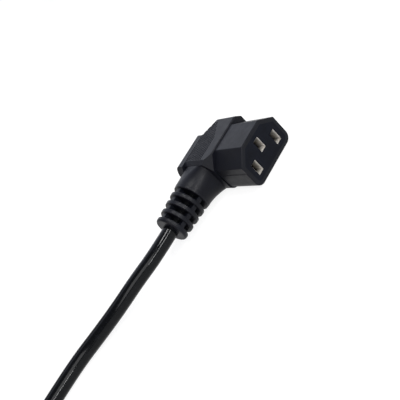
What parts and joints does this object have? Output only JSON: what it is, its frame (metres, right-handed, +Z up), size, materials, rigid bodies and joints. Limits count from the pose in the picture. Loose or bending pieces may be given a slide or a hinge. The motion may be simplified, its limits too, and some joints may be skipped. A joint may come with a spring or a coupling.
{
  "type": "angled power cord",
  "caption": "Detachable mains cord with a side-exit three-slot moulded connector, slotted strain relief and a round lead wound to an inlet plug.",
  "frame": {"origin": "middle of the connector's base, as it lies on its flat lower face; the free lead, its hank and the far plug are not counted", "axes": "+Z up through the connector's height, -Y out of its mating face, -X the way the lead leaves"},
  "size_m": [0.2749, 0.0596, 0.0201],
  "materials": {
    "moulded_pvc": "satin moulded PVC",
    "carrier_plastic": "fine matt",
    "cord_jacket": "glossy extruded PVC",
    "contact_brass": "bright stamped",
    "pin_brass": "nickel plated",
    "line_insulation": "smooth brown",
    "neutral_insulation": "smooth blue",
    "earth_insulation": "green with a yellow stripe",
    "copper_strand": "bare drawn copper",
    "tie_strap": "woven hook and loop"
  },
  "bodies": {
    "root": {"connector_shell": "moulded_pvc", "contact_carrier": "carrier_plastic", "jacket_entry": "cord_jacket", "line_contact": "contact_brass", "line_core": "line_insulation", "line_conductor": "copper_strand", "neutral_contact": "contact_brass", "neutral_core": "neutral_insulation", "neutral_conductor": "copper_strand", "earth_contact": "contact_brass", "earth_core": "earth_insulation", "earth_conductor": "copper_strand", "cord_run": "cord_jacket", "cord_hank": "cord_jacket", "hank_tie": "tie_strap", "cord_tail": "cord_jacket", "plug_shell": "moulded_pvc", "pin_carrier": "carrier_plastic", "plug_jacket_entry": "cord_jacket", "plug_line_pin": "pin_brass", "plug_line_core": "line_insulation", "plug_line_conductor": "copper_strand", "plug_neutral_pin": "pin_brass", "plug_neutral_core": "neutral_insulation", "plug_neutral_conductor": "copper_strand", "plug_earth_pin": "pin_brass", "plug_earth_core": "earth_insulation", "plug_earth_conductor": "copper_strand"}
  },
  "joints": []
}
